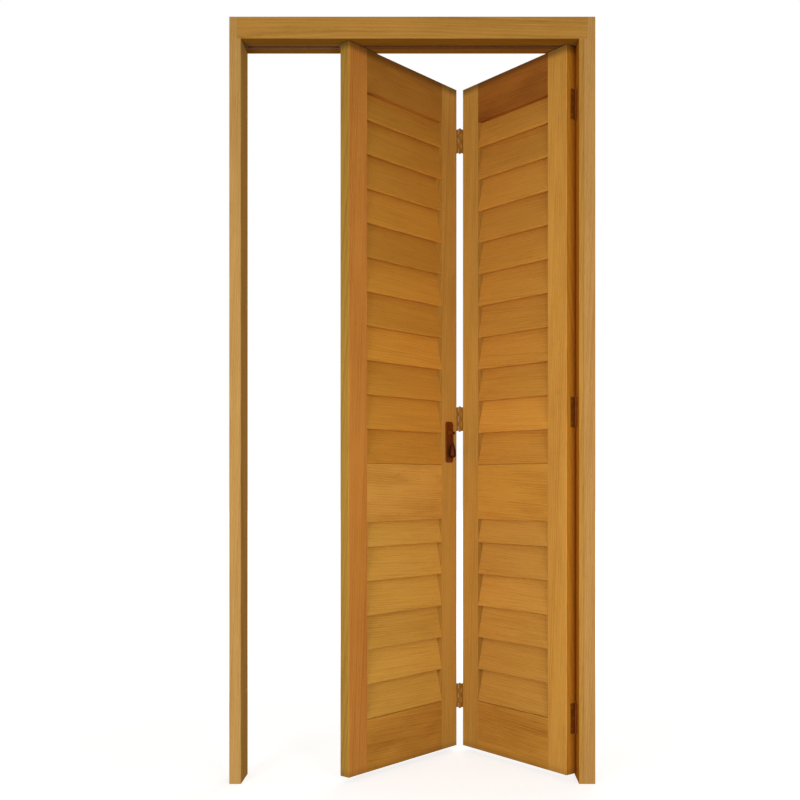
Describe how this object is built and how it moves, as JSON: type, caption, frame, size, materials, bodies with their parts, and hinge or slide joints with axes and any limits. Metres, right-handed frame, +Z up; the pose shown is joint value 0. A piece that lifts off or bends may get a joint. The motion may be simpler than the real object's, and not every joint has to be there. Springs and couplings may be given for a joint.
{
  "type": "bifold closet door",
  "caption": "Wooden louvred bifold closet door in its frame: one leaf hung on a jamb, the other hinged to it and guided by a trolley in the head, with a drop pull.",
  "frame": {"origin": "on the floor, in the front plane of the frame, midway between the outer faces of the jambs", "axes": "+X along the opening towards the hinge jamb, +Y from the front plane towards the side the leaves fold to, +Z up"},
  "size_m": [1.04, 0.4089, 2.18],
  "materials": {
    "frame_wood": "satin",
    "leaf_wood": "satin",
    "slat_wood": "satin",
    "hinge_bronze": "satin",
    "pull_bronze": "satin",
    "track": "satin",
    "steel": "satin",
    "nylon": "matte",
    "rubber": "matte"
  },
  "bodies": {
    "frame": {"head_jamb": "frame_wood", "strike_jamb": "frame_wood", "hinge_jamb": "frame_wood", "hinge_packer": "frame_wood", "frame_screws": "steel", "packer_screws": "steel", "frame_hinge_screws": "hinge_bronze", "top_track": "track", "track_screws": "steel", "track_stops": "rubber", "jamb_hinge_top_frame_plate": "hinge_bronze", "jamb_hinge_middle_frame_plate": "hinge_bronze", "jamb_hinge_bottom_frame_plate": "hinge_bronze", "jamb_hinge_top_pin": "hinge_bronze", "jamb_hinge_middle_pin": "hinge_bronze", "jamb_hinge_bottom_pin": "hinge_bronze"},
    "hung_leaf": {"hung_leaf_jamb_stile": "leaf_wood", "hung_leaf_fold_stile": "leaf_wood", "hung_leaf_top_rail": "leaf_wood", "hung_leaf_mid_rail": "leaf_wood", "hung_leaf_bottom_rail": "leaf_wood", "hung_leaf_upper_louvres": "slat_wood", "hung_leaf_lower_louvres": "slat_wood", "hung_leaf_hinge_screws": "hinge_bronze", "jamb_hinge_top_leaf_plate": "hinge_bronze", "jamb_hinge_middle_leaf_plate": "hinge_bronze", "jamb_hinge_bottom_leaf_plate": "hinge_bronze", "fold_hinge_top_hung_plate": "hinge_bronze", "fold_hinge_middle_hung_plate": "hinge_bronze", "fold_hinge_bottom_hung_plate": "hinge_bronze", "fold_hinge_top_pin": "hinge_bronze", "fold_hinge_middle_pin": "hinge_bronze", "fold_hinge_bottom_pin": "hinge_bronze"},
    "lead_leaf": {"lead_leaf_fold_stile": "leaf_wood", "lead_leaf_lead_stile": "leaf_wood", "lead_leaf_top_rail": "leaf_wood", "lead_leaf_mid_rail": "leaf_wood", "lead_leaf_bottom_rail": "leaf_wood", "lead_leaf_upper_louvres": "slat_wood", "lead_leaf_lower_louvres": "slat_wood", "lead_leaf_hinge_screws": "hinge_bronze", "fold_hinge_top_lead_plate": "hinge_bronze", "fold_hinge_middle_lead_plate": "hinge_bronze", "fold_hinge_bottom_lead_plate": "hinge_bronze", "hanger_bracket": "steel", "bracket_screws": "steel", "hanger_bolt": "steel", "hanger_nut": "steel", "pull_backplate": "pull_bronze", "pull_pivot_pin": "pull_bronze", "pull_screws": "pull_bronze"},
    "trolley": {"trolley_body": "steel", "trolley_axles": "steel"},
    "pull": {"drop_pull": "pull_bronze"},
    "wheel_left_front": {"trolley_wheel_left_front": "nylon"},
    "wheel_left_back": {"trolley_wheel_left_back": "nylon"},
    "wheel_right_front": {"trolley_wheel_right_front": "nylon"},
    "wheel_right_back": {"trolley_wheel_right_back": "nylon"}
  },
  "joints": [
    {"name": "jamb_hinge", "type": "hinge", "parent": "frame", "child": "hung_leaf", "pos_m": [0.47325, 0.059, 1.065], "axis": [0, 0, 1], "range_deg": [-29.5, 50.5]},
    {"name": "fold_hinge", "type": "hinge", "parent": "hung_leaf", "child": "lead_leaf", "pos_m": [0.14106, 0.3818, 1.065], "axis": [0, 0, 1], "range_deg": [-101, 59]},
    {"name": "trolley_pivot", "type": "hinge", "parent": "lead_leaf", "child": "trolley", "pos_m": [-0.19112, 0.059, 2.128], "axis": [0, 0, 1], "range_deg": [-29.5, 50.5]},
    {"name": "pull_swing", "type": "hinge", "parent": "lead_leaf", "child": "pull", "pos_m": [0.11775, 0.34723, 1.014], "axis": [-0.6361, -0.7716, 0], "range_deg": [0, 75]},
    {"name": "wheel_left_front_spin", "type": "hinge", "parent": "trolley", "child": "wheel_left_front", "pos_m": [-0.20513, 0.059, 2.128], "axis": [0, 1, 0], "continuous": true},
    {"name": "wheel_left_back_spin", "type": "hinge", "parent": "trolley", "child": "wheel_left_back", "pos_m": [-0.20513, 0.059, 2.128], "axis": [0, 1, 0], "continuous": true},
    {"name": "wheel_right_front_spin", "type": "hinge", "parent": "trolley", "child": "wheel_right_front", "pos_m": [-0.17713, 0.059, 2.128], "axis": [0, 1, 0], "continuous": true},
    {"name": "wheel_right_back_spin", "type": "hinge", "parent": "trolley", "child": "wheel_right_back", "pos_m": [-0.17713, 0.059, 2.128], "axis": [0, 1, 0], "continuous": true}
  ],
  "couplings": [
    {"joint": "fold_hinge", "follows": "jamb_hinge", "ratio": -2},
    {"joint": "trolley_pivot", "follows": "jamb_hinge", "ratio": 1}
  ]
}
